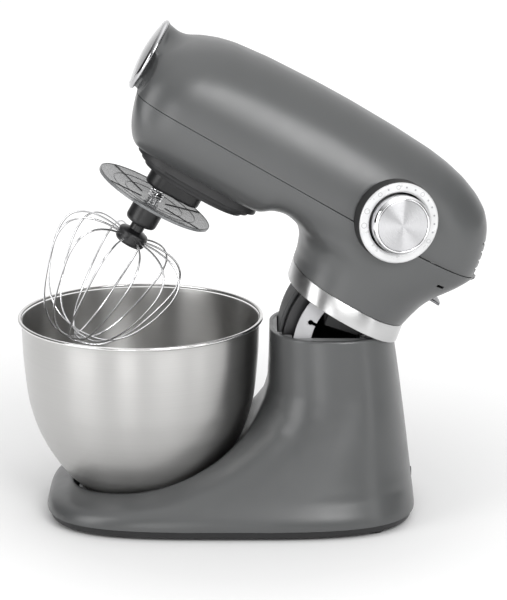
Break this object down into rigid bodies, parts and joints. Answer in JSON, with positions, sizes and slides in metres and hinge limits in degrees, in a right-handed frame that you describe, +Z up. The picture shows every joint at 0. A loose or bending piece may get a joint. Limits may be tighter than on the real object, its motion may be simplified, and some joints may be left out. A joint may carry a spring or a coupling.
{
  "type": "stand mixer",
  "caption": "Tilt-head stand mixer, head raised over a round steel bowl, with a balloon whisk under a splash disc and a speed knob on one side.",
  "frame": {"origin": "centre of the bounding box on the floor, head raised", "axes": "+Z up, +X from the bowl towards the column and the back, +Y to the side away from the speed knob, which is on the -Y side"},
  "size_m": [0.439, 0.2308, 0.4646],
  "materials": {
    "dark_grey_paint": "satin",
    "top_plate_grey": "satin",
    "sole_black_plastic": "matt",
    "foot_rubber": "matt",
    "black_plastic": "gloss",
    "matt_black_plastic": "matt",
    "arc_plate_grey": "satin",
    "brushed_steel": "brushed",
    "collar_brushed_steel": "brushed",
    "chrome": "polished",
    "whisk_wire_steel": "polished",
    "silver_plastic": "satin",
    "spun_aluminium": "spun",
    "splash_disc_plastic": "gloss",
    "cast_aluminium": "cast",
    "gear_steel": "machined",
    "gear_nylon": "matt",
    "motor_windings": "enamelled wire",
    "motor_laminations": "matt",
    "belt_rubber": "matt"
  },
  "bodies": {
    "base": {"base_shell": "dark_grey_paint", "base_sole": "sole_black_plastic", "foot_front_near": "foot_rubber", "foot_front_far": "foot_rubber", "foot_rear_near": "foot_rubber", "foot_rear_far": "foot_rubber", "bowl_seat": "cast_aluminium", "column_cap": "top_plate_grey", "hinge_bracket": "cast_aluminium", "hinge_pin": "gear_steel", "tilt_spring": "gear_steel", "cord_gland": "matt_black_plastic"},
    "bowl": {"bowl": "brushed_steel", "bowl_foot": "brushed_steel"},
    "head": {"head_upper_shell": "dark_grey_paint", "head_lower_shell": "dark_grey_paint", "collar_band": "collar_brushed_steel", "arc_shroud": "dark_grey_paint", "arc_liner": "black_plastic", "tilt_plate_near": "arc_plate_grey", "tilt_plate_far": "arc_plate_grey", "head_frame": "cast_aluminium", "arm_cover": "matt_black_plastic", "motor_stator": "motor_laminations", "drive_belt": "belt_rubber", "gearbox_plate": "cast_aluminium", "ring_gear": "gear_nylon", "trim_ring": "matt_black_plastic", "knob_bezel": "silver_plastic", "speed_switch": "matt_black_plastic", "lever_pin": "gear_steel", "front_hub": "cast_aluminium"},
    "rotor": {"motor_rotor": "motor_windings", "motor_pulley": "gear_steel", "motor_fan": "matt_black_plastic"},
    "layshaft": {"lay_pulley": "gear_nylon", "lay_pinion": "gear_steel"},
    "carrier": {"planet_carrier": "black_plastic", "spindle_gear": "gear_nylon"},
    "beater": {"planet_gear": "gear_steel", "beater_shaft": "chrome", "shaft_spring": "chrome", "splash_disc": "splash_disc_plastic"},
    "whisk": {"whisk_socket": "black_plastic", "whisk_crown": "black_plastic", "whisk_wire_1": "whisk_wire_steel", "whisk_wire_2": "whisk_wire_steel", "whisk_wire_3": "whisk_wire_steel", "whisk_wire_4": "whisk_wire_steel", "whisk_wire_5": "whisk_wire_steel", "whisk_wire_6": "whisk_wire_steel"},
    "knob": {"knob_skirt": "chrome", "knob_face": "spun_aluminium", "knob_shaft": "gear_steel"},
    "lever": {"release_lever": "chrome"},
    "latch": {"latch_hook": "gear_steel"},
    "cap": {"front_cap_rim": "chrome", "front_cap_face": "chrome"},
    "hub": {"hub_socket": "gear_steel"}
  },
  "joints": [
    {"name": "head_tilt", "type": "hinge", "parent": "base", "child": "head", "pos_m": [0.11, 0, 0.165], "axis": [0, 1, 0], "range_deg": [-30, 0]},
    {"name": "bowl_twist", "type": "hinge", "parent": "base", "child": "bowl", "pos_m": [-0.1052, 0, 0.0143], "axis": [0, 0, 1], "range_deg": [-35, 0]},
    {"name": "motor_spin", "type": "hinge", "parent": "head", "child": "rotor", "pos_m": [0.11459, 0, 0.24895], "axis": [0.5, 0, 0.866], "continuous": true},
    {"name": "layshaft_spin", "type": "hinge", "parent": "head", "child": "layshaft", "pos_m": [0.0101, 0, 0.33237], "axis": [0.5, 0, 0.866], "continuous": true},
    {"name": "planetary_spin", "type": "hinge", "parent": "head", "child": "carrier", "pos_m": [-0.05137, 0, 0.3159], "axis": [0.5, 0, 0.866], "continuous": true},
    {"name": "beater_spin", "type": "hinge", "parent": "carrier", "child": "beater", "pos_m": [-0.08138, 0, 0.31591], "axis": [0.5, 0, 0.866], "continuous": true},
    {"name": "whisk_pull", "type": "slide", "parent": "beater", "child": "whisk", "axis": [-0.5, 0, -0.866], "range_m": [0, 0.022]},
    {"name": "hub_spin", "type": "hinge", "parent": "head", "child": "hub", "pos_m": [-0.07162, 0, 0.42043], "axis": [-0.866, 0, 0.5], "continuous": true},
    {"name": "speed_knob", "type": "hinge", "parent": "head", "child": "knob", "pos_m": [0.13272, -0.0725, 0.29195], "axis": [0.2601, -0.9656, -0.0035], "range_deg": [-30, 240]},
    {"name": "release_lever_press", "type": "hinge", "parent": "head", "child": "lever", "pos_m": [0.15163, 0, 0.2121], "axis": [0, 1, 0], "range_deg": [0, 12], "stiffness_Nm_per_rad": 0.4, "springref_deg": -5.73},
    {"name": "latch_slide", "type": "slide", "parent": "head", "child": "latch", "axis": [0.866, 0, -0.5], "range_m": [0, 0.0032]},
    {"name": "front_cap_pull", "type": "slide", "parent": "head", "child": "cap", "axis": [-0.866, 0, 0.5], "range_m": [0, 0.02]}
  ],
  "couplings": [
    {"joint": "layshaft_spin", "follows": "motor_spin", "ratio": 0.25},
    {"joint": "planetary_spin", "follows": "motor_spin", "ratio": -0.05},
    {"joint": "beater_spin", "follows": "motor_spin", "ratio": 0.21667},
    {"joint": "hub_spin", "follows": "motor_spin", "ratio": 0.05},
    {"joint": "latch_slide", "follows": "release_lever_press", "m_per_rad": 0.014324}
  ]
}
